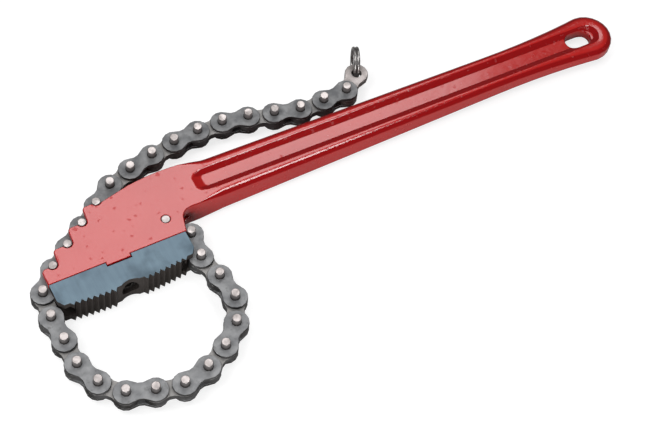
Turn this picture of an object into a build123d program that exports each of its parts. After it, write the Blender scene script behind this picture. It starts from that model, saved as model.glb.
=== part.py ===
"""Chain pipe wrench: a forged handle and head, a bolted-on toothed jaw and a pin chain.

The wrench lies flat. X runs along the handle towards its hanging hole, the jaw faces -Y and Z is up.
The origin is on the axis of the chain's anchor pin, in the plane that the wrench rests on.
All sizes are millimetres.
"""

import os
from cmath import exp
from math import atan2, cos, degrees, radians, sin, sqrt

from build123d import *

# Chain: plates of a 5/8 inch pitch leaf chain on long pins that reach past the plates
PITCH = 15.875
OUTER_LINKS = 15
PIN_DIAMETER = 5.08
PLATE_THICKNESS = 2.05
PLATE_TIP_GAP = 1.575
PLATE_WAIST = 9.6
PLATE_SIDE_GAP = 0.1
PIN_RUNNING_CLEARANCE = 0.08
PIN_PRESS_CLEARANCE = 0.01

# Short flats stand for the round edges and holes of the many plates, and for the ring's round wire:
# the angle that each flat turns through
EDGE_FLAT_ANGLE = 24
HOLE_FLAT_ANGLE = 36
WIRE_FLAT_ANGLE = 45
COIL_POINT_ANGLE = 5

# Lay of the chain: the heading of each link in degrees, chosen by eye
# The loop runs from the anchor round the pipe to the hook, the tail from the hook along the handle
LOOP_HEADINGS = (-51, -95, -75, -83, -113, -137, -151, -166, -192, -199, -227, -249, -268, -267, -277, -313)
TAIL_HEADINGS = (37, 19, 14, 11, 5, -1, -10, -15, -14, 0, 3, 38)
TAIL_GAP = 3.4

# Split ring in the hole of the last link: two turns of round wire
RING_HOLE_DIAMETER = 5.8
RING_WIRE = 1.9
RING_MEAN_DIAMETER = 17.5
RING_TURN_GAP = 0.45
RING_TURNS = 1.9
RING_LIFT = 1.6
RING_HEADING = 66

# Head: thickness, hook notches for the seated pins, and the grooves that the links run in
HEAD_THICKNESS = 17.4
NOTCHES = 4
FIRST_NOTCH_Y = -1.0
NOTCH_LINE_ANGLE = 36.5
SEAT_CLEARANCE = 0.35
NOTCH_LIP_DROP = 0.7
NOTCH_LIP_RADIUS = 1.0
NOSE_OFFSET = 3.7
NOSE_RADIUS = 2.3
LAST_SEAT_END_ANGLE = -36
LINK_SIDE_CLEARANCE = 0.4
LINK_EDGE_CLEARANCE = 0.8
GROOVE_MOUTH = 30
ANCHOR_SWING = 12
HEAD_NOSE_LIP = 0.2
HEEL_PIN_GAP = 0.15
HEEL_RUN = 3.5
HEEL_RADIUS = 7
SHOULDER_RUN = 20.3
SHOULDER_RISE = 2.3
CROWN_RISE = 1.9

# Handle: a bar with a shallow channel in both faces, which tapers and flares round the hanging hole
HANDLE_AXIS_Y = 15.2
NECK_X = 35
NECK_WIDTH = 27.2
WAIST_X = 232
WAIST_WIDTH = 23.4
END_X = 296.5
END_RADIUS = 15.4
END_THICKNESS = 9.6
TAPER_END_INSET = 6.5
CHANNEL_DEPTH = 1.8
CHANNEL_OVERCUT = 1.4
CHANNEL_X = 24.5
CHANNEL_WIDTH = 14.4
CHANNEL_CORNER_RADIUS = 4.5
FLOOR_X = 31
FLOOR_WIDTH = 7.6
FLOOR_CORNER_RADIUS = 2.5
HANG_HOLE_INSET = 7.1
HANG_HOLE_LENGTH = 17
HANG_HOLE_WIDTH = 11.4

# Jaw: a block keyed on the head's tongue, with two banks of teeth and a scallop between them
# Its seat is level with the chain's first pin, and its ends stand clear of the pins beside them
JAW_LENGTH = 82.0
SEAT_ABOVE_PIN = 0.29
JAW_NEAR_PIN_GAP = 1.05
JAW_FAR_PIN_GAP = 1.29
JAW_LAND_DEPTH = 15.1
JAW_CORNER = (2.6, 3.8)
JAW_END_SLOT = 9.2
TONGUE_WIDTH = 14.6
TONGUE_DEPTH = 1.9
TONGUE_SIDE_GAP = 0.15
TONGUE_END_GAP = 0.7
TOOTH_PITCH = 3.4
TEETH_PER_BANK = 8
TOOTH_DEPTH = 2.3
TOOTH_TIP_DEPTH = 19.3
TOOTH_CROWN_RADIUS = 260
SCALLOP_WIDTH = 15.8
SCALLOP_RISE = 4.0

# Jaw screw: a socket head cap screw sunk in the scallop
SCREW_DIAMETER = 6.0
SCREW_LENGTH = 16
SCREW_HEAD_DIAMETER = 9.6
SCREW_HEAD_HEIGHT = 6.0
SCREW_HEX = 5.0
SCREW_HEX_DEPTH = 3.0
SCREW_HOLE_CLEARANCE = 0.3
SCREW_THREAD_CLEARANCE = 0.02
SCREW_SINK = 2.2

PIN_RADIUS = PIN_DIAMETER / 2
PLATE_RADIUS = (PITCH - PLATE_TIP_GAP) / 2
SEAT_RADIUS = PIN_RADIUS + SEAT_CLEARANCE
INNER_HALF_STACK = PLATE_THICKNESS + PLATE_SIDE_GAP / 2
OUTER_HALF_STACK = INNER_HALF_STACK + PLATE_SIDE_GAP + PLATE_THICKNESS
GROOVE_WIDTH = 2 * (OUTER_HALF_STACK + LINK_SIDE_CLEARANCE)
ANCHOR_SLOT_WIDTH = 2 * (INNER_HALF_STACK + LINK_SIDE_CLEARANCE)
LINK_REACH = PLATE_RADIUS + LINK_EDGE_CLEARANCE
HANG_HOLE_X = END_X - HANG_HOLE_INSET


def step_along(start, heading, length):
    """Point at a distance from start, along a heading in degrees."""
    return (start[0] + length * cos(radians(heading)), start[1] + length * sin(radians(heading)))


def walk(start, headings):
    """Pin centres that follow from a start by one pitch along each heading."""
    points = [start]
    for heading in headings:
        points.append(step_along(points[-1], heading, PITCH))
    return points


def close_loop(headings, start, goal):
    """Turn and curl a run of links, but not its two end links, until its last pin is on the goal."""
    tilt = curl = 0.0
    middle = (len(headings) - 1) / 2
    span = complex(*goal) - complex(*start)
    offsets = [i - middle for i in range(len(headings))]
    shares = [1 - (offset / middle) ** 2 for offset in offsets]
    for _ in range(30):
        angles = [radians(h) + w * (tilt + curl * x) for h, w, x in zip(headings, shares, offsets)]
        links = [PITCH * exp(1j * angle) for angle in angles]
        miss = span - sum(links)
        by_tilt = sum(1j * w * link for w, link in zip(shares, links))
        by_curl = sum(1j * w * x * link for w, x, link in zip(shares, offsets, links))
        scale = by_tilt.real * by_curl.imag - by_tilt.imag * by_curl.real
        tilt += (miss.real * by_curl.imag - miss.imag * by_curl.real) / scale
        curl += (by_tilt.real * miss.imag - by_tilt.imag * miss.real) / scale
    return [degrees(angle) for angle in angles]


def clear_handle(headings, start):
    """Turn the whole tail about the hook until its lowest pin past the crest is clear of the handle."""
    level = HANDLE_AXIS_Y + NECK_WIDTH / 2 + PLATE_RADIUS + TAIL_GAP
    low, high = -60.0, 60.0
    while high - low > 1e-6:
        tilt = (low + high) / 2
        heights = [y for _, y in walk(start, [heading + tilt for heading in headings])]
        if min(heights[heights.index(max(heights)) :]) < level:
            low = tilt
        else:
            high = tilt
    return [heading + tilt for heading in headings]


ANCHOR = (0.0, 0.0)
FIRST_PIN = step_along(ANCHOR, LOOP_HEADINGS[0], PITCH)
JAW_SEAT_Y = FIRST_PIN[1] + SEAT_ABOVE_PIN
JAW_NEAR_X = FIRST_PIN[0] - PIN_RADIUS - JAW_NEAR_PIN_GAP
JAW_FAR_X = JAW_NEAR_X - JAW_LENGTH
JAW_CENTRE_X = (JAW_NEAR_X + JAW_FAR_X) / 2
LAND_Y = JAW_SEAT_Y - JAW_LAND_DEPTH
TIP_Y = JAW_SEAT_Y - TOOTH_TIP_DEPTH
HEAD_LEFT_X = JAW_FAR_X - HEAD_NOSE_LIP
HEAD_RIGHT_X = FIRST_PIN[0] - PIN_RADIUS - HEEL_PIN_GAP
LAST_LOOP_PIN_X = JAW_FAR_X - JAW_FAR_PIN_GAP - PIN_RADIUS
FIRST_NOTCH = (step_along((LAST_LOOP_PIN_X, 0), LOOP_HEADINGS[-1], PITCH)[0], FIRST_NOTCH_Y)
NOTCH_PINS = [step_along(FIRST_NOTCH, NOTCH_LINE_ANGLE, i * PITCH) for i in range(NOTCHES)]
SHOULDER = (NOTCH_PINS[-1][0] + SHOULDER_RUN, NOTCH_PINS[-1][1] + SHOULDER_RISE)
HEADINGS = (
    close_loop(LOOP_HEADINGS, ANCHOR, FIRST_NOTCH)
    + [NOTCH_LINE_ANGLE] * (NOTCHES - 1)
    + clear_handle(TAIL_HEADINGS, NOTCH_PINS[-1])
)
PINS = walk(ANCHOR, HEADINGS)
HOOK_PIN = len(LOOP_HEADINGS)
RING_HOLE = PINS[-1]


def slab(face, width):
    """Prism of a plan face, centred on the mid-plane."""
    return extrude(face, width / 2, both=True)


def corners_at(face, points):
    """Vertices of a plan face that lie at the given points."""
    wanted = [Vector(*point) for point in points]
    return [v for v in face.vertices() if any((v.center() - w).length < 1e-3 for w in wanted)]


def passage(points, mouth):
    """Plan of the room that links with pins at the points need, open along the mouth vector."""
    moved = [(x + mouth[0], y + mouth[1]) for x, y in points]
    rounds = [Pos(*point) * Circle(LINK_REACH) for point in {*points, *moved}]
    return make_hull([edge for circle in rounds for edge in circle.edges()])


def flats(centre, radius, start, end):
    """Points that divide an arc, given by two angles in degrees, into equal flats."""
    count = round(abs(end - start) / EDGE_FLAT_ANGLE)
    return [step_along(centre, start + (end - start) * i / count, radius) for i in range(count)]


def dog_bone(*hole_diameters):
    """Figure-eight chain plate along +X with its first hole at the origin and its second one pitch away."""
    half = PITCH / 2
    waist = PLATE_WAIST / 2
    hollow = (half**2 + waist**2 - PLATE_RADIUS**2) / (2 * (PLATE_RADIUS - waist))
    lean = degrees(atan2(waist + hollow, half))
    outline = [
        *flats((PITCH, 0), PLATE_RADIUS, lean - 180, 180 - lean),
        *flats((half, waist + hollow), hollow, -lean, lean - 180),
        *flats((0, 0), PLATE_RADIUS, lean, 360 - lean),
        *flats((half, -waist - hollow), hollow, 180 - lean, lean),
    ]
    plate = make_face(Polyline(*outline, close=True))
    for i, diameter in enumerate(hole_diameters):
        plate -= Pos(i * PITCH, 0) * RegularPolygon(diameter / 2, 360 // HOLE_FLAT_ANGLE, major_radius=False)
    return plate


def laid(index, solid):
    """Put a solid made along +X on the link that leaves the pin of that number."""
    return Pos(*PINS[index]) * Rot(0, 0, HEADINGS[index]) * solid


def plate_pair(index, plan, offset):
    """A link's plate above the mid-plane and its twin below, both at the same distance."""
    return [laid(index, Pos(0, 0, side * offset) * slab(plan, PLATE_THICKNESS)) for side in (1, -1)]


def inner_link(index):
    """Two plates that lie against each other on the mid-plane, joined in one solid."""
    running = PIN_DIAMETER + 2 * PIN_RUNNING_CLEARANCE
    return laid(index, slab(dog_bone(running, running), 2 * INNER_HALF_STACK))


def end_link():
    """The last link's two plates, apart by a visible gap, with the ring's hole at their far end."""
    running = PIN_DIAMETER + 2 * PIN_RUNNING_CLEARANCE
    plan = dog_bone(running, RING_HOLE_DIAMETER)
    return plate_pair(len(HEADINGS) - 1, plan, INNER_HALF_STACK - PLATE_THICKNESS / 2)


def outer_link(index):
    """Two plates outside the inner ones."""
    pressed = PIN_DIAMETER + 2 * PIN_PRESS_CLEARANCE
    return plate_pair(index, dog_bone(pressed, pressed), OUTER_HALF_STACK - PLATE_THICKNESS / 2)


def pin_at(point):
    """Chain pin as long as the head is thick."""
    return Pos(*point) * Cylinder(PIN_RADIUS, HEAD_THICKNESS)


def paddle(start_x, start_half, waist_half, end_radius):
    """Half outline, above the handle's axis, of a bar that narrows to its waist and flares to a round end."""
    reach = END_X - WAIST_X
    flare = (reach**2 + waist_half**2 - end_radius**2) / (2 * (end_radius - waist_half))
    share = end_radius / (flare + end_radius)
    meet = (END_X - reach * share, (waist_half + flare) * share)
    lean = atan2(meet[0] - WAIST_X, waist_half + flare - meet[1]) / 2
    middle = (WAIST_X + flare * sin(lean), waist_half + flare - flare * cos(lean))
    shaft = Line((start_x, start_half), (WAIST_X, waist_half))
    swell = ThreePointArc((WAIST_X, waist_half), middle, meet)
    tip = (END_X + end_radius, 0)
    half_way = atan2(meet[1], meet[0] - END_X) / 2
    nose = (END_X + end_radius * cos(half_way), end_radius * sin(half_way))
    return [shaft, swell, ThreePointArc(meet, nose, tip)]


def on_axis(edges):
    """Half outline moved onto the handle's axis, with its mirror image below."""
    upper = [Pos(0, HANDLE_AXIS_Y) * edge for edge in edges]
    lower = [Pos(0, HANDLE_AXIS_Y) * mirror(edge, about=Plane.XZ) for edge in edges]
    return upper, lower


def head_and_handle_plan():
    """Outline of the forging seen from above, with the hook notches in the head's upper left edge."""
    outline = []
    noses = [(HEAD_LEFT_X, NOTCH_PINS[0][1] - NOTCH_LIP_DROP)]
    lips = []
    lip_reach = sqrt(SEAT_RADIUS**2 - NOTCH_LIP_DROP**2)
    outline.append(Line((HEAD_LEFT_X, JAW_SEAT_Y), noses[0]))
    for i, (x, y) in enumerate(NOTCH_PINS):
        lip = (x - lip_reach, y - NOTCH_LIP_DROP)
        last = i == NOTCHES - 1
        wall_foot = step_along((x, y), LAST_SEAT_END_ANGLE if last else 0, SEAT_RADIUS)
        top = SHOULDER if last else (x + NOSE_OFFSET, NOTCH_PINS[i + 1][1] - NOTCH_LIP_DROP)
        outline.append(Line(noses[-1], lip))
        outline.append(ThreePointArc(lip, (x, y - SEAT_RADIUS), wall_foot))
        outline.append(Line(wall_foot, top))
        lips.append(lip)
        noses.append(top)
    upper, lower = on_axis(paddle(NECK_X, NECK_WIDTH / 2, WAIST_WIDTH / 2, END_RADIUS))
    neck_top = upper[0] @ 0
    neck_bottom = lower[0] @ 0
    heel = (HEAD_RIGHT_X + HEEL_RUN, neck_bottom.Y)
    crown = ((SHOULDER[0] + neck_top.X) / 2, (SHOULDER[1] + neck_top.Y) / 2 + CROWN_RISE)
    outline.append(ThreePointArc(SHOULDER, crown, neck_top))
    outline.extend([*upper, *lower])
    outline.append(Line(neck_bottom, heel))
    outline.append(Line(heel, (HEAD_RIGHT_X, JAW_SEAT_Y)))
    outline.append(Line((HEAD_RIGHT_X, JAW_SEAT_Y), (HEAD_LEFT_X, JAW_SEAT_Y)))
    plan = make_face(outline)
    plan = fillet(corners_at(plan, noses[:-1]), NOSE_RADIUS)
    plan = fillet(corners_at(plan, lips), NOTCH_LIP_RADIUS)
    plan = fillet(corners_at(plan, [heel]), HEEL_RADIUS)
    tongue = Pos(JAW_CENTRE_X, JAW_SEAT_Y) * Rectangle(TONGUE_WIDTH, 2 * TONGUE_DEPTH)
    return plan + tongue


def handle_taper():
    """Slab seen from the side: full thickness over the head, then thinning towards the handle's end."""
    head = HEAD_THICKNESS / 2
    end = END_THICKNESS / 2
    far = END_X + 2 * END_RADIUS
    near = HEAD_LEFT_X - END_RADIUS
    top = [(near, head), (NECK_X, head), (END_X - TAPER_END_INSET, end), (far, end)]
    bottom = [(x, -z) for x, z in reversed(top)]
    side = Plane.XZ * make_face(Polyline(*top, *bottom, close=True))
    return extrude(side, 3 * NECK_WIDTH, both=True)


def channel_outline(share):
    """Plan of the channel at a share of its depth above the floor, 1 being the handle's face."""
    floor = (FLOOR_X, FLOOR_WIDTH, FLOOR_CORNER_RADIUS)
    face = (CHANNEL_X, CHANNEL_WIDTH, CHANNEL_CORNER_RADIUS)
    x, width, radius = (low + share * (high - low) for low, high in zip(floor, face))
    shaft = Pos((x + END_X) / 2, HANDLE_AXIS_Y) * Rectangle(END_X - x, width)
    corners = [(x, HANDLE_AXIS_Y + side * width / 2) for side in (1, -1)]
    return fillet(corners_at(shaft, corners), radius) + Pos(END_X, HANDLE_AXIS_Y) * Circle(width / 2)


def handle_channel():
    """Cutter for the channel in the upper face: its floor follows the handle's taper, its walls slope."""
    drop = (HEAD_THICKNESS - END_THICKNESS) / 2
    run = END_X - TAPER_END_INSET - NECK_X
    tilt = Pos(NECK_X, 0, HEAD_THICKNESS / 2) * Rot(0, degrees(atan2(drop, run)), 0) * Pos(-NECK_X, 0, 0)
    floor = Pos(0, 0, -CHANNEL_DEPTH) * channel_outline(0)
    above = Pos(0, 0, (CHANNEL_OVERCUT - 1) * CHANNEL_DEPTH) * channel_outline(CHANNEL_OVERCUT)
    return tilt * loft([floor, above], ruled=True)


def make_handle():
    """Forged head and handle in one piece."""
    body = slab(head_and_handle_plan(), HEAD_THICKNESS) & handle_taper()
    channel = handle_channel()
    body -= channel
    body -= mirror(channel, about=Plane.XY)
    hang_hole = SlotOverall(HANG_HOLE_LENGTH, HANG_HOLE_WIDTH)
    body -= Pos(HANG_HOLE_X, HANDLE_AXIS_Y) * slab(hang_hole, HEAD_THICKNESS)
    for room in chain_rooms():
        body -= room
    body -= Cylinder(PIN_RADIUS + PIN_PRESS_CLEARANCE, HEAD_THICKNESS)
    thread = SCREW_LENGTH + screw_seat_y() - JAW_SEAT_Y
    tapped = Cylinder(SCREW_DIAMETER / 2 + SCREW_THREAD_CLEARANCE, 2 * thread)
    body -= Pos(JAW_CENTRE_X, JAW_SEAT_Y) * Rot(90, 0, 0) * tapped
    return body


def chain_rooms():
    """Grooves in the head: for the seated links along the hook, and for the first links at the anchor."""
    out = step_along((0, 0), NOTCH_LINE_ANGLE + 90, GROOVE_MOUTH)
    hook = passage([NOTCH_PINS[0], PINS[HOOK_PIN + NOTCHES]], out)
    rise = passage([PINS[HOOK_PIN - 1], NOTCH_PINS[0]], (-GROOVE_MOUTH, 0))
    swing = [step_along(ANCHOR, HEADINGS[0] + turn, PITCH) for turn in (0, ANCHOR_SWING)]
    anchor = passage([ANCHOR, *swing], (0, 0))
    below = passage(swing, step_along((0, 0), HEADINGS[0], GROOVE_MOUTH))
    return [slab(anchor, ANCHOR_SLOT_WIDTH), *(slab(plan, GROOVE_WIDTH) for plan in (hook, rise, below))]


def jaw_plan():
    """Jaw outline: a keyway on the head side and two banks of teeth either side of the scallop."""
    half = JAW_LENGTH / 2
    key_half = TONGUE_WIDTH / 2 + TONGUE_SIDE_GAP
    key_y = JAW_SEAT_Y - TONGUE_DEPTH - TONGUE_END_GAP
    side = [(0, key_y), (key_half, key_y), (key_half, JAW_SEAT_Y), (half, JAW_SEAT_Y)]
    side += [(half, LAND_Y + JAW_CORNER[1]), (half - JAW_CORNER[0], LAND_Y)]
    teeth = []
    first = SCALLOP_WIDTH / 2
    for i in range(TEETH_PER_BANK):
        for share, depth in ((0, TOOTH_DEPTH), (0.5, 0)):
            x = first + (i + share) * TOOTH_PITCH
            crown = TOOTH_CROWN_RADIUS - sqrt(TOOTH_CROWN_RADIUS**2 - x**2)
            teeth.append((x, TIP_Y + depth + crown))
    bank_end = first + TEETH_PER_BANK * TOOTH_PITCH
    side += [(bank_end, LAND_Y)] + list(reversed(teeth))
    outline = side + [(-x, y) for x, y in reversed(side[1:])]
    plan = make_face(Polyline(*outline, close=True))
    chord = SCALLOP_WIDTH / 2
    radius = (chord**2 + SCALLOP_RISE**2) / (2 * SCALLOP_RISE)
    plan -= Pos(0, TIP_Y + SCALLOP_RISE - radius) * Circle(radius)
    return Pos(JAW_CENTRE_X, 0) * plan


def screw_seat_y():
    """Height of the face under the screw's head, sunk below the bottom of the scallop."""
    return TIP_Y + SCALLOP_RISE + SCREW_SINK + SCREW_HEAD_HEIGHT


def make_jaw():
    """Toothed jaw with its chain slots at both ends and a counterbored hole for its screw."""
    body = slab(jaw_plan(), HEAD_THICKNESS)
    for end in (-1, 1):
        slot = Box(2 * JAW_END_SLOT, 4 * TOOTH_TIP_DEPTH, GROOVE_WIDTH)
        body -= Pos(JAW_CENTRE_X + end * JAW_LENGTH / 2, JAW_SEAT_Y) * slot
    head_room = SCREW_HEAD_DIAMETER / 2 + SCREW_HOLE_CLEARANCE
    bore = SCREW_DIAMETER / 2 + SCREW_HOLE_CLEARANCE
    along_y = Pos(JAW_CENTRE_X, screw_seat_y()) * Rot(90, 0, 0)
    body -= along_y * Cylinder(head_room, TOOTH_TIP_DEPTH, align=(Align.CENTER, Align.CENTER, Align.MIN))
    body -= along_y * Cylinder(bore, 2 * TOOTH_TIP_DEPTH)
    return body


def make_screw():
    """Socket head cap screw that holds the jaw, its head towards -Y."""
    low = (Align.CENTER, Align.CENTER, Align.MIN)
    high = (Align.CENTER, Align.CENTER, Align.MAX)
    screw = Cylinder(SCREW_HEAD_DIAMETER / 2, SCREW_HEAD_HEIGHT, align=low)
    screw += Cylinder(SCREW_DIAMETER / 2, SCREW_LENGTH, align=high)
    hexagon = RegularPolygon(SCREW_HEX / 2, 6, major_radius=False)
    screw -= Pos(0, 0, SCREW_HEAD_HEIGHT - SCREW_HEX_DEPTH) * extrude(hexagon, SCREW_HEX_DEPTH)
    return Pos(JAW_CENTRE_X, screw_seat_y()) * Rot(90, 0, 0) * screw


def turn_gap(coil, turns):
    """Least gap between the turns of a coil of the ring's wire, measured on points of its centre line."""
    per_turn = round(360 / COIL_POINT_ANGLE)
    last = int(turns * per_turn)
    points = [coil @ (i / (turns * per_turn)) for i in range(last + 1)]
    pairs = ((a, b) for i, a in enumerate(points) for b in points[i + per_turn // 2 :])
    return min((a - b).length for a, b in pairs) - RING_WIRE


def make_ring():
    """Split ring standing in the last link's hole, its two turns side by side."""
    step = RING_WIRE + RING_TURN_GAP
    radius = RING_MEAN_DIAMETER / 2
    coil = Helix(step, RING_TURNS * step, radius)
    print(f"split ring: least gap between turns {turn_gap(coil, RING_TURNS):.2f} mm")
    start = Plane(origin=coil @ 0, z_dir=coil % 0)
    wire = sweep(start * RegularPolygon(RING_WIRE / 2, 360 // WIRE_FLAT_ANGLE), coil, is_frenet=True)
    wire = Pos(0, 0, -RING_TURNS * step / 2) * wire
    reach = sqrt(radius**2 - RING_LIFT**2)
    centre = step_along(RING_HOLE, RING_HEADING, reach)
    upright = Rot(0, 0, RING_HEADING) * Rot(90, 0, 0)
    return Pos(*centre, RING_LIFT) * upright * wire


def write(node, *solids):
    """Export one node, lifted from the mid-plane so that the wrench rests on z = 0."""
    lifted = [Pos(0, 0, HEAD_THICKNESS / 2) * solid for solid in solids]
    export_step(lifted[0] if len(lifted) == 1 else Compound(children=lifted), f"parts/{node}.step")


os.makedirs("parts", exist_ok=True)
write("handle", make_handle())
write("jaw", make_jaw())
write("jaw_screw", make_screw())
write("anchor_pin", pin_at(ANCHOR))
for number in range(OUTER_LINKS):
    write(f"inner_link_{number:02d}", inner_link(2 * number))
for number in range(1, OUTER_LINKS + 1):
    write(f"outer_link_{number:02d}", *outer_link(2 * number - 1))
    write(f"link_pins_{number:02d}", pin_at(PINS[2 * number - 1]), pin_at(PINS[2 * number]))
write("end_link", *end_link())
write("split_ring", make_ring())
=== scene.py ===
"""Looks of a chain pipe wrench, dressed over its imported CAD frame, in that frame and in metres."""

from math import cos, hypot, radians, sin, sqrt

import bmesh
import bpy
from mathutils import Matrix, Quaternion, Vector
from numpy import interp


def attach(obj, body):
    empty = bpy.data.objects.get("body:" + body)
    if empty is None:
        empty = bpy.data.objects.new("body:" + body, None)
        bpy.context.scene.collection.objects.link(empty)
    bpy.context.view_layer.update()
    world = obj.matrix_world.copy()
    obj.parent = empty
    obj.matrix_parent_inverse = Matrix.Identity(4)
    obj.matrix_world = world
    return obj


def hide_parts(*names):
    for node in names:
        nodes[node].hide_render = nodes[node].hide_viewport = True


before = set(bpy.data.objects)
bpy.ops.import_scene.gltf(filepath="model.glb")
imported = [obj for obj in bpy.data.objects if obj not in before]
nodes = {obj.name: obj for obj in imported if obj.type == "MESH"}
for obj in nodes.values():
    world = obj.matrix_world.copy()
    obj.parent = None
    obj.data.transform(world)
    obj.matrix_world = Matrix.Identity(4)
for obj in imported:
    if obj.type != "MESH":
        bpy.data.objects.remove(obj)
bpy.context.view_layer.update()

# Handle and hook head
# One drop forging with a shallow channel in both faces of its shank. The die and the tumbling drum
# rounded its rims well and the head's edges a little, and it is sprayed with glossy red enamel
AXIS_Y = 0.0152
MIDDLE_Z = 0.0087
SEAM_X = 0.0220
NECK_X = 0.0350
CROWN_FULL_X = 0.0380
TAPER_END_X = 0.2900
END_X = 0.2965
HEAD_HALF = 0.0087
END_HALF = 0.0048
END_RADIUS = 0.0154
RIM_REACH = 0.0085
CROWN_DROP = 0.0026
CROWN_WIDTH = 0.0057
BRINK_DROP = 0.00029
BRINK_WIDTH = 0.0016
HEAD_ROUNDING = 0.0006
HEAD_CREASE = radians(20)
HEAD_FLATTEN = radians(0.3)
ROUNDING_SEGMENTS = 3
WELD = 1e-6

# The slot for the chain's first link comes out at the corner between heel and shank
MOUTH_HEADING = radians(-20)
MOUTH_LENGTH = 0.015875
MOUTH_RADIUS = 0.0075
MOUTH_HALF = 0.0024
MOUTH_CORNERS = 24

mouth = bpy.data.objects.new("slot_mouth", bpy.data.meshes.new("slot_mouth"))
bpy.context.scene.collection.objects.link(mouth)
shape = bmesh.new()
faces = []
for level in (MIDDLE_Z - MOUTH_HALF, MIDDLE_Z + MOUTH_HALF):
    face = []
    for i in range(2 * MOUTH_CORNERS):
        bearing = radians(-90) + radians(180) * (i + 0.5) / MOUTH_CORNERS
        ahead = MOUTH_LENGTH * (i < MOUTH_CORNERS) + MOUTH_RADIUS * cos(bearing)
        across = MOUTH_RADIUS * sin(bearing)
        x = ahead * cos(MOUTH_HEADING) - across * sin(MOUTH_HEADING)
        y = ahead * sin(MOUTH_HEADING) + across * cos(MOUTH_HEADING)
        face.append(shape.verts.new((x, y, level)))
    faces.append(face)
    shape.faces.new(face)
low, high = faces
for i in range(2 * MOUTH_CORNERS):
    shape.faces.new((low[i - 1], low[i], high[i], high[i - 1]))
bmesh.ops.recalc_face_normals(shape, faces=shape.faces)
shape.to_mesh(mouth.data)
shape.free()

solid = nodes["handle"]
solid.modifiers.new("weld", "WELD").merge_threshold = WELD
opening = solid.modifiers.new("opening", "BOOLEAN")
opening.object = mouth
opening.operation = "DIFFERENCE"
opening.solver = "EXACT"
shape = bmesh.new()
shape.from_object(solid, bpy.context.evaluated_depsgraph_get())
solid.modifiers.clear()
bpy.data.objects.remove(mouth)

# The head is the solid with rounded edges, cut off where the shank's own skin begins
bmesh.ops.remove_doubles(shape, verts=shape.verts, dist=WELD)
bmesh.ops.dissolve_limit(shape, angle_limit=HEAD_FLATTEN, verts=shape.verts, edges=shape.edges)
outline = sorted((vert.co.x, vert.co.y - AXIS_Y) for vert in shape.verts if vert.co.x > 0)
rim = [(x, y) for x, y in outline if abs(y) > RIM_REACH]
creases = [edge for edge in shape.edges if edge.calc_face_angle(0) > HEAD_CREASE]
for edge in creases:
    edge.smooth = edge.is_convex
outward = [edge for edge in creases if edge.is_convex]
bmesh.ops.bevel(
    shape,
    geom=[edge for edge in outward if min(vert.co.x for vert in edge.verts) < SEAM_X],
    offset=HEAD_ROUNDING,
    offset_type="OFFSET",
    segments=ROUNDING_SEGMENTS,
    profile=0.5,
    affect="EDGES",
)
bmesh.ops.bisect_plane(
    shape,
    geom=[*shape.verts, *shape.edges, *shape.faces],
    plane_co=(SEAM_X, 0, 0),
    plane_no=(1, 0, 0),
    clear_outer=True,
)

# The shank's skin is a row of sections from the head round the end and back
CHANNEL_X = 0.0245
CHANNEL_HALF = 0.0072
CHANNEL_DEPTH = 0.0018
CHANNEL_CORNER = 0.0045
SLOPE_WIDTH = 0.0034
RAMP_LENGTH = 0.0065
HOLE_X = 0.2894
HOLE_HALF_STRAIGHT = 0.0028
HOLE_RADIUS = 0.0057
HOLE_ROUNDING = 0.0008
HOLE_STEP = HOLE_ROUNDING / 6
COLUMNS = (0, 0.0013, 0.0024, 0.0032, 0.0038, 0.0044, 0.0055, 0.0064, 0.0068, 0.0072, 0.0076)
CHANNEL_FOOT = 4
RIM_TURNS = [radians(turn) for turn in (0, 8, 16, 26, 38, 52, 70, 90)]
NECK_STOPS = 16
NECK_STEP = 0.0008
SHANK_STOPS = 20
SHANK_STEP = 0.0125
HOLE_APPROACH = (6, 4, 3, 2, 1)
END_TURN = 15


def channel_share(x, reach):
    """How deep the channel is at a place on the face, from 0 at its brink to 1 on its floor."""
    ahead = (x - CHANNEL_X) * SLOPE_WIDTH / RAMP_LENGTH
    short = [max(0, CHANNEL_CORNER - room) for room in (ahead, CHANNEL_HALF - reach)]
    return min(1, max(0, (CHANNEL_CORNER - hypot(*short)) / SLOPE_WIDTH))


def hole_reach(x, turn):
    """From the middle line to the hanging hole's edge, or nothing where the shank is solid."""
    past = max(0, abs(x - HOLE_X) - HOLE_HALF_STRAIGHT)
    if past > HOLE_RADIUS + WELD:
        return None
    return sqrt(max(0, HOLE_RADIUS**2 - (past * sin(turn)) ** 2)) - past * cos(turn)


def hole_roll(x, reach, turn):
    """How far the face rolls down beside the hanging hole."""
    past = max(0, abs(x + reach * cos(turn) - HOLE_X) - HOLE_HALF_STRAIGHT)
    short = max(0, HOLE_ROUNDING + HOLE_RADIUS - hypot(past, reach * sin(turn)))
    return HOLE_ROUNDING - sqrt(HOLE_ROUNDING**2 - min(HOLE_ROUNDING, short) ** 2)


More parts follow.
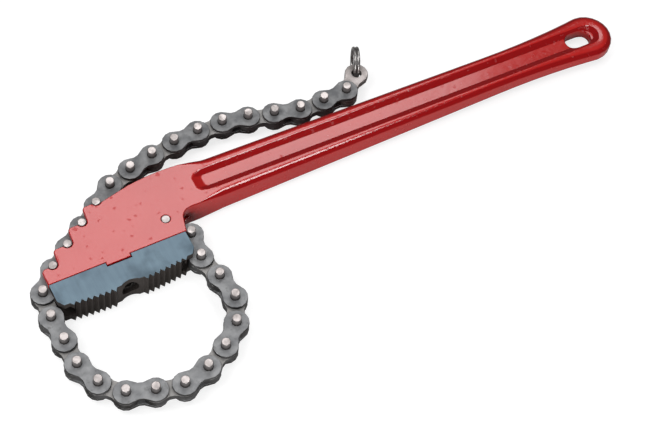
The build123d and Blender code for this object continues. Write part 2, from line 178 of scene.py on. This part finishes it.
def shank_section(x, turn):
    """Points from the middle of the upper face, over the rim, to the middle of the lower face."""
    side = 1 if turn > 0 else -1
    edge = [(rim_x, side * y) for rim_x, y in rim if side * y > 0]
    width = END_RADIUS if abs(turn) < radians(90) else interp(x, *zip(*edge))
    half = interp(x, (NECK_X, TAPER_END_X), (HEAD_HALF, END_HALF))
    growth = (SEAM_X, CROWN_FULL_X)
    crown = interp(x, growth, (HEAD_ROUNDING, min(CROWN_WIDTH, width - COLUMNS[-1])))
    drop = interp(x, growth, (HEAD_ROUNDING, CROWN_DROP))
    brink = interp(x, growth, (0, BRINK_DROP))
    hole = hole_reach(x, turn)
    profile = []
    for step, reach in enumerate(COLUMNS):
        if hole is not None:
            reach = max(reach, hole + step * HOLE_STEP)
        sunk = (CHANNEL_DEPTH - brink) * channel_share(x, reach) + hole_roll(x, reach, turn)
        profile.append((reach, half - sunk))
    for a in RIM_TURNS:
        profile.append((width - crown + crown * sin(a), half - drop + drop * cos(a)))
    upper = []
    for reach, height in profile:
        bead = min(1, max(0, (reach - CHANNEL_HALF) / BRINK_WIDTH))
        upper.append((reach, height - brink * (1 - bead) ** 2))
    lower = [(reach, -height) for reach, height in reversed(upper)]
    return [
        (x + reach * cos(turn), AXIS_Y + reach * sin(turn), MIDDLE_Z + height)
        for reach, height in upper + lower
    ]


arc = [radians(turn) for turn in range(0, 91, END_TURN)]
hole_start = HOLE_X - HOLE_HALF_STRAIGHT
hole_end = HOLE_X + HOLE_HALF_STRAIGHT
stops = [SEAM_X + NECK_STEP * (i + 1) for i in range(NECK_STOPS)] + [NECK_X]
stops += [CROWN_FULL_X + SHANK_STEP * i for i in range(SHANK_STOPS)]
stops += [hole_start - HOLE_RADIUS - HOLE_STEP * i for i in HOLE_APPROACH]
stops += [hole_start - HOLE_RADIUS * cos(a) for a in arc] + [HOLE_X, TAPER_END_X]
stops += [x for x in (hole_end + HOLE_RADIUS * sin(a) for a in arc) if x < END_X] + [END_X]
walk = [(x, radians(-90)) for x in stops]
walk += [(END_X, radians(turn)) for turn in range(END_TURN - 90, 90, END_TURN)]
walk += [(x, radians(90)) for x in reversed(stops)]
skin = [[shape.verts.new(point) for point in shank_section(x, turn)] for x, turn in walk]
for i in range(len(walk) - 1):
    before, after = skin[i], skin[i + 1]
    for j in range(len(before) - 1):
        shape.faces.new((before[j], before[j + 1], after[j + 1], after[j]))
    for foot in (CHANNEL_FOOT, -1 - CHANNEL_FOOT):
        shape.edges.get((before[foot], after[foot])).smooth = False
    if hole_reach(*walk[i]) is not None and hole_reach(*walk[i + 1]) is not None:
        shape.faces.new((before[0], after[0], after[-1], before[-1]))
bmesh.ops.remove_doubles(shape, verts=[vert for row in skin for vert in row], dist=WELD)
bmesh.ops.bridge_loops(shape, edges=[edge for edge in shape.edges if edge.is_boundary])
bmesh.ops.recalc_face_normals(shape, faces=shape.faces)
forging = bpy.data.objects.new("forging", bpy.data.meshes.new("forging"))
shape.to_mesh(forging.data)
shape.free()
bpy.context.scene.collection.objects.link(forging)


class Shade:
    """A socket in a material's nodes. Arithmetic on it adds Math nodes."""

    def __init__(self, tree, socket=None):
        self.tree = tree
        self.socket = socket

    def node(self, kind, settings=None, inputs=None, output=0):
        """Adds a node, sets its settings first and then its sockets, and returns an output."""
        made = self.tree.nodes.new("ShaderNode" + kind)
        for name, value in (settings or {}).items():
            setattr(made, name, value)
        for name, value in (inputs or {}).items():
            if isinstance(value, Shade):
                self.tree.links.new(value.socket, made.inputs[name])
            else:
                made.inputs[name].default_value = value
        return Shade(self.tree, made.outputs[output])

    def math(self, operation, first, second=0.0):
        """One Math node on one or two values."""
        return self.node("Math", {"operation": operation}, {0: first, 1: second})

    def __add__(self, other):
        return self.math("ADD", self, other)

    def __sub__(self, other):
        return self.math("SUBTRACT", self, other)

    def __rsub__(self, other):
        return self.math("SUBTRACT", other, self)

    def __mul__(self, other):
        return self.math("MULTIPLY", self, other)

    __radd__ = __add__
    __rmul__ = __mul__

    def between(self, low, high):
        """0 below low, 1 above high, and a straight climb from one to the other."""
        return self.node("MapRange", None, {"Value": self, "From Min": low, "From Max": high})

    def noise(self, scale, detail, stretch=(1, 1, 1)):
        """Noise from 0 to 1 on these coordinates, with features of about 1/scale metres."""
        place = self.node("Mapping", None, {"Vector": self, "Scale": stretch})
        return self.node("TexNoise", None, {"Vector": place, "Scale": scale, "Detail": detail})

    def axis(self, letter):
        """One of these coordinates, X, Y or Z."""
        return self.node("SeparateXYZ", None, {"Vector": self}, letter)

    def flatness(self, low=0.55, high=0.85):
        """0 where the surface stands upright, 1 where it lies flat, and a climb between."""
        upward = self.node("TexCoord", None, None, "Normal").axis("Z")
        return self.math("ABSOLUTE", upward).between(low, high)

    def from_middle(self, low, high):
        """0 near the wrench's middle plane, 1 far from it, and a climb between these heights."""
        return self.math("ABSOLUTE", self.axis("Z") - MIDDLE_Z).between(low, high)

    def mix(self, first, second):
        """Colour that goes from the first to the second as this value goes from 0 to 1."""
        pair = [value if isinstance(value, Shade) else (*value, 1) for value in (first, second)]
        return self.node("Mix", {"data_type": "RGBA"}, {0: self, 6: pair[0], 7: pair[1]}, 2)

    def bump(self, distance):
        """Normal that follows this value as a height of that many metres."""
        return self.node("Bump", None, {"Height": self, "Distance": distance})


def new_finish(name, **constants):
    """Makes a material; returns it, its object coordinates and a way to feed its sockets."""
    material = bpy.data.materials.new(name)
    material.use_nodes = True
    tree = material.node_tree
    shader = tree.nodes["Principled BSDF"]
    for socket, value in constants.items():
        shader.inputs[socket.replace("_", " ")].default_value = value
    place = Shade(tree).node("TexCoord", None, None, "Object")

    def feed(**sockets):
        for socket, value in sockets.items():
            tree.links.new(value.socket, shader.inputs[socket.replace("_", " ")])

    return material, place, feed


FLAT_FACE_WEIGHT = 80


def smooth(piece, material):
    """Gives a piece its material and soft shading that leaves its large faces flat."""
    piece.data.materials.clear()
    piece.data.materials.append(material)
    for face in piece.data.polygons:
        face.use_smooth = True
    flat_faces = piece.modifiers.new("flat_faces", "WEIGHTED_NORMAL")
    flat_faces.weight = FLAT_FACE_WEIGHT
    flat_faces.keep_sharp = True


ENAMEL_RED = (0.50, 0.012, 0.010)
ENAMEL_DEEP = (0.44, 0.008, 0.007)
# Painted shade: a darker red for the channel's walls and the rims' crowns
SLOPE_PAINTED_SHADE = (0.26, 0.002, 0.003)
ENAMEL_CHIP = (0.46, 0.010, 0.009)
DRIFT_NOISE = (18, 3)
DRIFT_RANGE = (0.35, 0.7)
ENAMEL_ROUGHNESS = 0.14
ENAMEL_UNEVEN = 0.12
UNEVEN_NOISE = (55, 2)
ENAMEL_COAT = 0.5
COAT_ROUGHNESS = 0.08
SLOPE_STEEP = (0.2, 0.5)
SLOPE_LEVEL = (0.94, 0.985)
SLOPE_GLOSS = 0.55
SLOPE_UNCOATED = 0.6
CHIP_NOISE = (300, 1)
CHIP_RANGE = (0.69, 0.72)
CHIP_ROUGHER = 0.25
CHIP_UNCOATED = 0.5
PEEL_NOISE = (260, 2)
FINE_PEEL_NOISE = (1400, 1)
FINE_PEEL = 0.18
PEEL_HEIGHT = 0.00013
HEAD_PEEL = 0.45
HEAD_TO_SHANK = (0.020, 0.050)

enamel, place, feed = new_finish("red_enamel", Coat_Roughness=COAT_ROUGHNESS)
drift = place.noise(*DRIFT_NOISE).between(*DRIFT_RANGE)
chip = place.noise(*CHIP_NOISE).between(*CHIP_RANGE)
# The channel's walls and the rims' crowns are painted a darker red as shade
slope = place.flatness(*SLOPE_STEEP) * (1 - place.flatness(*SLOPE_LEVEL))
shank = place.axis("X").between(*HEAD_TO_SHANK)
peel = place.noise(*PEEL_NOISE) + FINE_PEEL * place.noise(*FINE_PEEL_NOISE)
even = chip.mix(drift.mix(ENAMEL_RED, ENAMEL_DEEP), ENAMEL_CHIP)
dull = ENAMEL_ROUGHNESS + ENAMEL_UNEVEN * place.noise(*UNEVEN_NOISE)
feed(
    Base_Color=slope.mix(even, SLOPE_PAINTED_SHADE),
    Roughness=dull * (1 - SLOPE_GLOSS * slope) + CHIP_ROUGHER * chip,
    Coat_Weight=ENAMEL_COAT * (1 - CHIP_UNCOATED * chip) * (1 - SLOPE_UNCOATED * slope),
    Normal=((HEAD_PEEL + (1 - HEAD_PEEL) * shank) * peel).bump(PEEL_HEIGHT),
)
smooth(forging, enamel)
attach(forging, "wrench")
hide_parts("handle")

# Jaw
# A hardened block with ground faces and milled teeth, seated on the head's tongue. Heat treatment
# left its flanks nearly black
JAW_ROUNDING = 0.00025
JAW_CREASE = radians(40)
PIECE_FLATTEN = radians(0.5)


def dress(node, material, radius, crease):
    """Welds a CAD node's faces, rounds its creases and gives it a material."""
    piece = nodes[node]
    piece.modifiers.new("weld", "WELD").merge_threshold = WELD
    flat = piece.modifiers.new("flat", "DECIMATE")
    flat.decimate_type = "DISSOLVE"
    flat.angle_limit = PIECE_FLATTEN
    rounding = piece.modifiers.new("rounding", "BEVEL")
    rounding.width = radius
    rounding.segments = ROUNDING_SEGMENTS
    rounding.limit_method = "ANGLE"
    rounding.angle_limit = crease
    rounding.use_clamp_overlap = False
    smooth(piece, material)


GROUND_BLUE = (0.095, 0.143, 0.185)
GROUND_PALE = (0.190, 0.270, 0.330)
GROUND_STAIN = (0.050, 0.078, 0.104)
SCALE_BROWN = (0.062, 0.052, 0.047)
OUTER_FACES = (0.0080, 0.0083)
PATCH_NOISE = (70, 3)
PATCH_SHARE = 0.55
SCRATCH_NOISE = (420, 2, (1, 0.05, 1))
GRIND_RANGE = (0.3, 0.7)
GRIND_HEIGHT = 0.00003
JAW_STAIN_NOISE = (52, 4)
JAW_STAIN_RANGE = (0.50, 0.66)
JAW_STAINED = 0.65
JAW_ROUGHNESS = 0.42
JAW_UNEVEN = 0.2

jaw_steel, place, feed = new_finish("jaw_steel", Metallic=0.5)
patch = place.noise(*PATCH_NOISE).between(*GRIND_RANGE)
scratch = place.noise(*SCRATCH_NOISE).between(*GRIND_RANGE)
grind = PATCH_SHARE * patch + (1 - PATCH_SHARE) * scratch
ground = place.flatness() * place.from_middle(*OUTER_FACES)
stain = place.noise(*JAW_STAIN_NOISE).between(*JAW_STAIN_RANGE)
blued = (JAW_STAINED * stain).mix(grind.mix(GROUND_BLUE, GROUND_PALE), GROUND_STAIN)
feed(
    Base_Color=ground.mix(SCALE_BROWN, blued),
    Roughness=JAW_ROUGHNESS + JAW_UNEVEN * grind,
    Normal=grind.bump(GRIND_HEIGHT),
)
dress("jaw", jaw_steel, JAW_ROUNDING, JAW_CREASE)

# Jaw screw
# A socket head cap screw of steel with a black oxide finish, a little rubbed. It is sunk in the
# scallop between the two banks of teeth and holds the jaw to the head
SCREW_ROUNDING = 0.0003
SCREW_CREASE = radians(40)
OXIDE = (0.022, 0.020, 0.019)
OXIDE_WORN = (0.085, 0.078, 0.072)
RUB_NOISE = (900, 3)
RUB_RANGE = (0.45, 0.7)
OXIDE_ROUGHNESS = 0.38
OXIDE_UNEVEN = 0.2

oxide, place, feed = new_finish("black_oxide", Metallic=0.7)
rub = place.noise(*RUB_NOISE).between(*RUB_RANGE)
feed(
    Base_Color=rub.mix(OXIDE, OXIDE_WORN),
    Roughness=OXIDE_ROUGHNESS + OXIDE_UNEVEN * rub,
)
dress("jaw_screw", oxide, SCREW_ROUNDING, SCREW_CREASE)

# Chain pins
# Round pins, cut from drawn rod and pressed in the outer plates. Their ends, bright from barrel
# finishing, stand past the plates on both sides, and their flanks are painted darker near the
# plates, as shade
PIN_ROUNDING = 0.00045
PIN_CREASE = radians(50)
PIN_BRIGHT = (0.45, 0.41, 0.40)
PIN_DULL = (0.32, 0.29, 0.28)
PIN_FLANK = (0.27, 0.25, 0.245)
PIN_FOOT_SHADE = (0.07, 0.06, 0.057)
FOOT_SHADE_HEIGHTS = (0.0042, 0.0066)
TARNISH_NOISE = (260, 3)
TARNISH_RANGE = (0.42, 0.72)
PIN_ROUGHNESS = 0.34
PIN_UNEVEN = 0.18
PIN_GRAIN_NOISE = (1600, 2)
PIN_GRAIN_HEIGHT = 0.00002

pin_steel, place, feed = new_finish("pin_steel", Metallic=0.75)
tarnish = place.noise(*TARNISH_NOISE).between(*TARNISH_RANGE)
# The flanks are painted darker towards the plates, as shade
flank = place.from_middle(*FOOT_SHADE_HEIGHTS).mix(PIN_FOOT_SHADE, PIN_FLANK)
feed(
    Base_Color=place.flatness().mix(flank, tarnish.mix(PIN_BRIGHT, PIN_DULL)),
    Roughness=PIN_ROUGHNESS + PIN_UNEVEN * tarnish,
    Normal=place.noise(*PIN_GRAIN_NOISE).bump(PIN_GRAIN_HEIGHT),
)
for name in nodes:
    if name == "anchor_pin" or name.startswith("link_pins"):
        dress(name, pin_steel, PIN_ROUNDING, PIN_CREASE)

# Chain plates
# Blanked from strip, tumbled and phosphated grey. Their upright edges are painted near black,
# unevenly, as shade. Two lie side by side on each inner link, and two hold the pins of each
# outer link
PLATE_ROUNDING = 0.0004
PLATE_CREASE = radians(45)
FIRST_OILED_LINK = 9
OUTER_WORN = ((0.180, 0.183, 0.190), (0.300, 0.302, 0.307))
OUTER_OILED = ((0.130, 0.133, 0.139), (0.265, 0.266, 0.270))
INNER_WORN = ((0.215, 0.209, 0.204), (0.325, 0.314, 0.306))
CLOUD_NOISE = (150, 3)
CLOUD_RANGE = (0.35, 0.68)
PLATE_STAIN = (0.10, 0.10, 0.10)
PLATE_STAIN_NOISE = (330, 3)
PLATE_STAIN_RANGE = (0.58, 0.75)
PLATE_STAINED = 0.6
EDGE_SHADE_GREY = (0.085, 0.083, 0.084)
EDGE_SHADE_DARK = (0.014, 0.012, 0.011)
EDGE_NOISE = (90, 2)
EDGE_RANGE = (0.38, 0.58)
PLATE_ROUGHNESS = 0.46
PLATE_UNEVEN = 0.2
PLATE_GRAIN_NOISE = (1500, 2)
PLATE_GRAIN_HEIGHT = 0.00004


def phosphate(name, dull, pale):
    """Grey plate finish with clouds from dull to pale and stains, and edges painted darker as shade.
    """
    finish, place, feed = new_finish(name, Metallic=0.4)
    cloud = place.noise(*CLOUD_NOISE).between(*CLOUD_RANGE)
    grain = place.noise(*PLATE_GRAIN_NOISE)
    stain = place.noise(*PLATE_STAIN_NOISE).between(*PLATE_STAIN_RANGE)
    face = (PLATE_STAINED * stain).mix(cloud.mix(dull, pale), PLATE_STAIN)
    # The upright edges are painted dark as shade, unevenly
    edge = place.noise(*EDGE_NOISE).between(*EDGE_RANGE).mix(EDGE_SHADE_DARK, EDGE_SHADE_GREY)
    feed(
        Base_Color=place.flatness().mix(edge, face),
        Roughness=PLATE_ROUGHNESS + PLATE_UNEVEN * grain,
        Normal=grain.bump(PLATE_GRAIN_HEIGHT),
    )
    return finish


worn = phosphate("worn_phosphate", *OUTER_WORN)
oiled = phosphate("oiled_phosphate", *OUTER_OILED)
inner = phosphate("inner_phosphate", *INNER_WORN)
for name in nodes:
    if name.startswith("inner_link"):
        dress(name, inner, PLATE_ROUNDING, PLATE_CREASE)
    elif name.startswith("outer_link"):
        finish = oiled if int(name[-2:]) >= FIRST_OILED_LINK else worn
        dress(name, finish, PLATE_ROUNDING, PLATE_CREASE)

# End link
# The chain's last link: two plates of plain bright steel with a larger hole for the ring. They
# are blanked like the other plates and turn on the last pin
BRIGHT = (0.37, 0.335, 0.325)
BRIGHT_DULL = (0.27, 0.245, 0.236)
BRIGHT_EDGE = (0.16, 0.14, 0.13)
SMEAR_NOISE = (140, 3, (1, 1, 0.3))
SMEAR_RANGE = (0.4, 0.7)
BRIGHT_ROUGHNESS = 0.36
BRIGHT_UNEVEN = 0.2
BRIGHT_GRAIN_NOISE = (1500, 2)
BRIGHT_GRAIN_HEIGHT = 0.00003

bright, place, feed = new_finish("bright_plate", Metallic=0.6)
smear = place.noise(*SMEAR_NOISE).between(*SMEAR_RANGE)
feed(
    Base_Color=place.flatness().mix(BRIGHT_EDGE, smear.mix(BRIGHT, BRIGHT_DULL)),
    Roughness=BRIGHT_ROUGHNESS + BRIGHT_UNEVEN * smear,
    Normal=place.noise(*BRIGHT_GRAIN_NOISE).bump(BRIGHT_GRAIN_HEIGHT),
)
dress("end_link", bright, PLATE_ROUNDING, PLATE_CREASE)

# Split ring
# Two turns of bright spring wire, wound side by side, which stand in the end link's hole. Near the
# floor the wire steps from one turn to the other, and there both its ends are
RING_MIDDLE = Vector((0.154147, 0.057823, 0.0103))
RING_HEADING = radians(66)
RING_RADIUS = 0.00875
WIRE_RADIUS = 0.00094
TURN_GAP = 0.00012
STEP_FROM = 255
STEP_TO = 285
TURN_DEGREES = 6
WIRE_SIDES = 16
WIRE_BRIGHT = (0.46, 0.44, 0.43)
WIRE_DULL = (0.20, 0.19, 0.185)
DRAW_NOISE = (700, 2)
DRAW_RANGE = (0.3, 0.7)
WIRE_ROUGHNESS = 0.26
WIRE_UNEVEN = 0.10

sideways = Vector((cos(RING_HEADING), sin(RING_HEADING), 0))
upward = Vector((0, 0, 1))
axle = Vector((sin(RING_HEADING), -cos(RING_HEADING), 0))
aside = WIRE_RADIUS + TURN_GAP / 2
sides = [radians(360 / WIRE_SIDES * i) for i in range(WIRE_SIDES)]
shape = bmesh.new()
coil = []
for degrees in range(STEP_TO - 360, STEP_FROM + 361, TURN_DEGREES):
    spoke = cos(radians(degrees)) * sideways + sin(radians(degrees)) * upward
    step = interp(degrees, (STEP_FROM, STEP_TO), (180, 0))
    core = RING_MIDDLE + RING_RADIUS * spoke + aside * cos(radians(step)) * axle
    round_wire = [core + WIRE_RADIUS * (cos(a) * spoke + sin(a) * axle) for a in sides]
    coil.append([shape.verts.new(point) for point in round_wire])
for before, after in zip(coil, coil[1:]):
    for i in range(WIRE_SIDES):
        shape.faces.new((before[i - 1], before[i], after[i], after[i - 1]))
for end in (coil[0], coil[-1]):
    shape.faces.new(end)
bmesh.ops.recalc_face_normals(shape, faces=shape.faces)
ring = bpy.data.objects.new("ring_coil", bpy.data.meshes.new("ring_coil"))
shape.to_mesh(ring.data)
shape.free()
bpy.context.scene.collection.objects.link(ring)

wire, place, feed = new_finish("spring_wire", Metallic=0.9)
draw = place.noise(*DRAW_NOISE)
feed(
    Base_Color=draw.between(*DRAW_RANGE).mix(WIRE_BRIGHT, WIRE_DULL),
    Roughness=WIRE_ROUGHNESS + WIRE_UNEVEN * draw,
)
smooth(ring, wire)
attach(ring, "ring")
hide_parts("split_ring")

# Floor and room
# A white paper sweep that the wrench lies on, in a dim room. The camera sees the paper as pure
# white, gloss mirrors a little of that, and the paper keeps the wrench's soft shadow
FLOOR_SIZE = 8.0
FLOOR_GAP = 0.0002
PAPER_TONE = (0.32, 0.32, 0.32, 1)
PAPER_GLOW = 0.78
MIRRORED_GLOW = 0.1
ROOM_WHITE = (1, 1, 1, 1)
ROOM_LIGHT = 0.10

paper, place, feed = new_finish(
    "white_paper",
    Base_Color=PAPER_TONE,
    Roughness=0.9,
    Specular_IOR_Level=0.1,
    Emission_Strength=PAPER_GLOW,
)
seen = place.node("LightPath", None, None, "Is Camera Ray")
mirrored = place.node("LightPath", None, None, "Is Glossy Ray")
feed(Emission_Color=seen + MIRRORED_GLOW * mirrored)
bpy.ops.mesh.primitive_plane_add(size=FLOOR_SIZE, location=(0, 0, -FLOOR_GAP))
floor = bpy.context.object
floor.name = "floor"
floor.data.materials.append(paper)

scene = bpy.context.scene
scene.world = bpy.data.worlds.new("white_room")
scene.world.use_nodes = True
room = scene.world.node_tree.nodes["Background"]
room.inputs["Color"].default_value = ROOM_WHITE
room.inputs["Strength"].default_value = ROOM_LIGHT
scene.view_settings.view_transform = "Standard"

# Lamps
# A panel behind the wrench, which the flat faces mirror to the camera, a lamp high on each side,
# of which the small one draws the highlights along the rims, and a wide fill in front
AIM = Vector((0.0827, -0.0354, 0.0174))
LAMPS = {
    "back_panel": {"azimuth": 63.5, "elevation": 56, "distance": 2.2, "size": 1.06, "power": 13.5},
    "overhead": {"azimuth": 170, "elevation": 60, "distance": 1.0, "size": 0.5, "power": 5.0},
    "top_lamp": {"azimuth": -6, "elevation": 71, "distance": 1.5, "size": 0.3, "power": 3.5},
    "front_fill": {"azimuth": -110, "elevation": 14, "distance": 2.0, "size": 1.0, "power": 30},
}


def direction(azimuth, elevation):
    """Unit vector towards a direction in degrees."""
    level = cos(radians(elevation))
    bearing = radians(azimuth)
    return Vector((level * cos(bearing), level * sin(bearing), sin(radians(elevation))))


for name, lamp in LAMPS.items():
    away = direction(lamp["azimuth"], lamp["elevation"])
    light = bpy.data.objects.new(name, bpy.data.lights.new(name, "AREA"))
    light.data.size = lamp["size"]
    light.data.energy = lamp["power"]
    light.location = AIM + lamp["distance"] * away
    light.rotation_euler = away.to_track_quat("Z", "Y").to_euler()
    scene.collection.objects.link(light)

# Camera
# It stands where the photo was taken from, above and in front of the chain, with a long lens and
# tilted a little
CAMERA_AZIMUTH = -125.6
CAMERA_ELEVATION = 56.8
CAMERA_ROLL = 8.9
CAMERA_DISTANCE = 0.9491
LENS_MM = 92.7
SENSOR_MM = 36

back = direction(CAMERA_AZIMUTH, CAMERA_ELEVATION)
camera = bpy.data.objects.new("camera", bpy.data.cameras.new("camera"))
camera.data.lens = LENS_MM
camera.data.sensor_width = SENSOR_MM
camera.location = AIM + CAMERA_DISTANCE * back
facing = back.to_track_quat("Z", "Y") @ Quaternion((0, 0, 1), radians(CAMERA_ROLL))
camera.rotation_euler = facing.to_euler()
scene.collection.objects.link(camera)
scene.camera = camera
